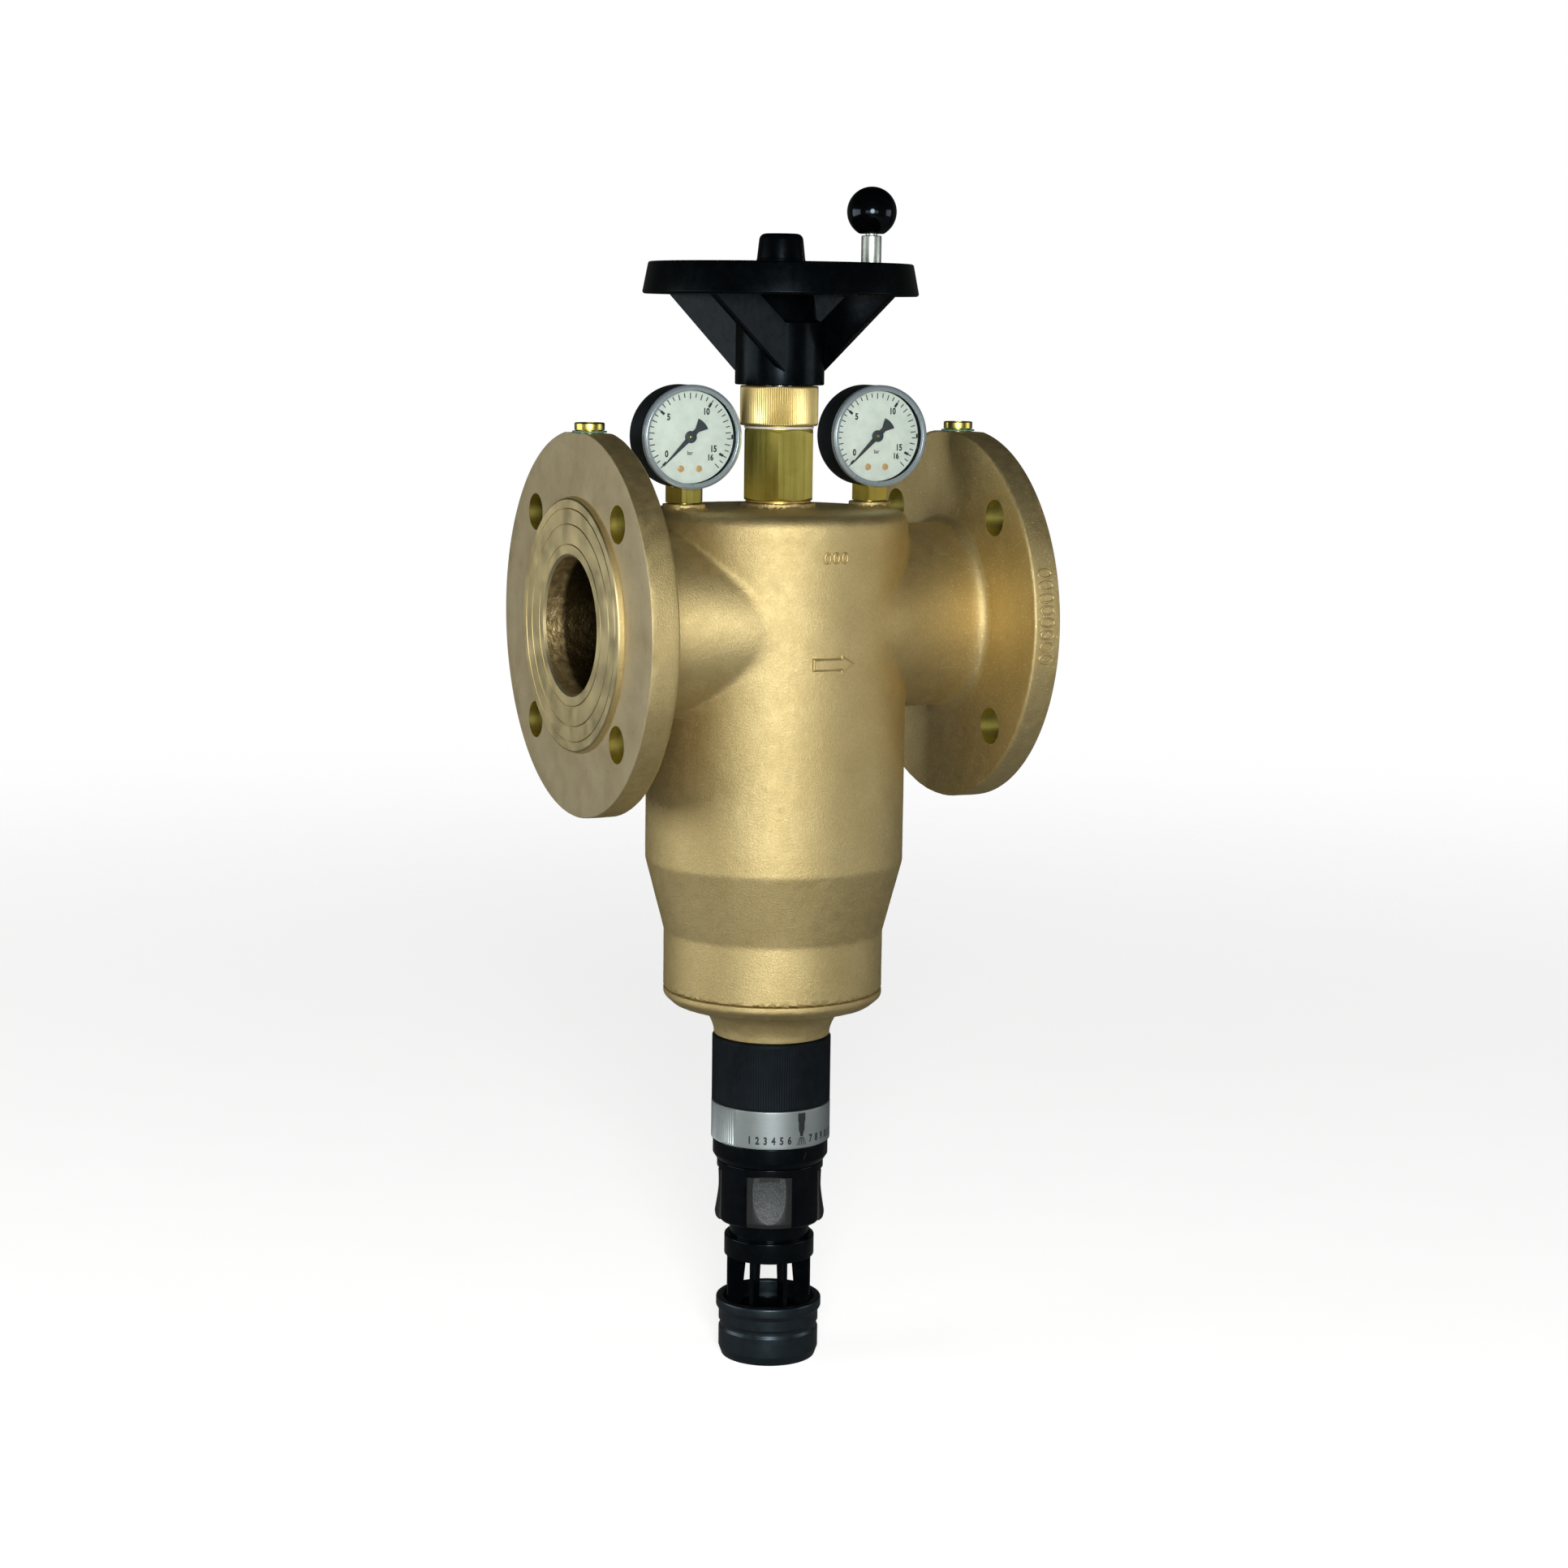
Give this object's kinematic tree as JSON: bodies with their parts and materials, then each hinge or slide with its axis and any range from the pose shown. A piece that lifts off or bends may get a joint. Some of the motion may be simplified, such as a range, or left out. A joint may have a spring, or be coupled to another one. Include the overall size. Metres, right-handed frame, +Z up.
{
  "type": "flanged backwash water filter",
  "caption": "Flanged bronze water filter with a cranked handwheel on a rising spindle, two pressure gauges, a month ring and a drain spout with an air-gap cage and funnel.",
  "frame": {"origin": "on the spindle axis, in the bottom plane of the drain funnel; the port axis is 375 mm above it", "axes": "+Z up along the spindle, +X along the flow from the inlet flange to the outlet flange, gauge dials face -Y"},
  "size_m": [0.22, 0.185, 0.5863],
  "materials": {
    "cast_bronze": "sand-cast grain, golden tan, machined on the sealing faces",
    "brass": "machined, with fine turning and drawing marks",
    "black_gloss": "moulded glossy black",
    "charcoal_satin": "satin charcoal with a fine knurl",
    "aluminium_satin": "satin, with printed numbers",
    "chrome": "polished",
    "stainless": "turned",
    "dial_face": "pale matt dial with a printed scale",
    "pointer_grey": "dark grey paint",
    "clear_lens": "clear",
    "rubber": "plain",
    "white_seal": "off-white plastic",
    "green_seal": "thin green sealing ring"
  },
  "bodies": {
    "body": {"body_casting": "cast_bronze", "bottom_cover": "cast_bronze", "cover_o_ring": "rubber", "flush_seat": "stainless", "inlet_test_plug": "brass", "outlet_test_plug": "brass", "inlet_plug_seal": "green_seal", "outlet_plug_seal": "green_seal", "bonnet": "brass", "bonnet_gasket": "white_seal", "gland_ring": "white_seal", "gland_nut": "brass", "stem_packing": "rubber", "sieve_screen": "stainless", "sieve_top_ring": "charcoal_satin", "sieve_bottom_ring": "charcoal_satin", "sieve_basket": "charcoal_satin", "sieve_o_ring": "rubber", "union_sleeve": "charcoal_satin", "sleeve_gasket": "rubber", "drain_collar": "black_gloss", "drain_spout": "black_gloss", "drain_cage": "black_gloss", "drain_funnel": "black_gloss", "inlet_gauge_socket": "brass", "inlet_gauge_case": "black_gloss", "inlet_gauge_dial": "dial_face", "inlet_gauge_bezel": "chrome", "inlet_gauge_lens": "clear_lens", "inlet_gauge_bourdon_tube": "brass", "outlet_gauge_socket": "brass", "outlet_gauge_case": "black_gloss", "outlet_gauge_dial": "dial_face", "outlet_gauge_bezel": "chrome", "outlet_gauge_lens": "clear_lens", "outlet_gauge_bourdon_tube": "brass"},
    "flush_plug": {"flush_plug": "brass", "flush_plug_seal": "rubber"},
    "spindle": {"spindle": "stainless", "suction_tube": "stainless", "suction_nozzle_1": "black_gloss", "suction_nozzle_2": "black_gloss", "suction_nozzle_3": "black_gloss", "suction_nozzle_4": "black_gloss", "handwheel": "black_gloss", "hub_washer": "stainless", "hub_screw": "stainless", "wheel_cap": "black_gloss", "crank_pin": "chrome"},
    "ball_knob": {"ball_knob": "black_gloss"},
    "month_ring": {"month_ring": "aluminium_satin"},
    "inlet_pointer": {"inlet_gauge_pointer": "pointer_grey"},
    "outlet_pointer": {"outlet_gauge_pointer": "pointer_grey"},
    "tab_front": {"release_tab_front": "black_gloss"},
    "tab_right": {"release_tab_right": "black_gloss"},
    "tab_back": {"release_tab_back": "black_gloss"},
    "tab_left": {"release_tab_left": "black_gloss"}
  },
  "joints": [
    {"name": "valve_lift", "type": "slide", "parent": "body", "child": "flush_plug", "axis": [0, 0, 1], "range_m": [0, 0.0161]},
    {"name": "handwheel_turn", "type": "hinge", "parent": "flush_plug", "child": "spindle", "pos_m": [0, 0, 0.375], "axis": [0, 0, 1], "range_deg": [0, 1440]},
    {"name": "ball_knob_spin", "type": "hinge", "parent": "spindle", "child": "ball_knob", "pos_m": [0.05416, 0.00955, 0.548], "axis": [0, 0, 1], "continuous": true},
    {"name": "month_ring_turn", "type": "hinge", "parent": "body", "child": "month_ring", "pos_m": [0, 0, 0.123], "axis": [0, 0, 1], "continuous": true},
    {"name": "inlet_pointer_turn", "type": "hinge", "parent": "body", "child": "inlet_pointer", "pos_m": [-0.0505, 0, 0.4646], "axis": [0.0698, 0.9976, 0], "range_deg": [0, 270]},
    {"name": "outlet_pointer_turn", "type": "hinge", "parent": "body", "child": "outlet_pointer", "pos_m": [0.0505, 0, 0.4646], "axis": [0.0698, 0.9976, 0], "range_deg": [0, 270]},
    {"name": "tab_front_press", "type": "hinge", "parent": "body", "child": "tab_front", "pos_m": [-0.01096, -0.02247, 0.0732], "axis": [-0.8988, 0.4384, 0], "range_deg": [0, 4]},
    {"name": "tab_right_press", "type": "hinge", "parent": "body", "child": "tab_right", "pos_m": [0.02247, -0.01096, 0.0732], "axis": [-0.4384, -0.8988, 0], "range_deg": [0, 4]},
    {"name": "tab_back_press", "type": "hinge", "parent": "body", "child": "tab_back", "pos_m": [0.01096, 0.02247, 0.0732], "axis": [0.8988, -0.4384, 0], "range_deg": [0, 4]},
    {"name": "tab_left_press", "type": "hinge", "parent": "body", "child": "tab_left", "pos_m": [-0.02247, 0.01096, 0.0732], "axis": [0.4384, 0.8988, 0], "range_deg": [0, 4]}
  ],
  "couplings": [
    {"joint": "valve_lift", "follows": "handwheel_turn", "m_per_rad": 0.00063662}
  ]
}
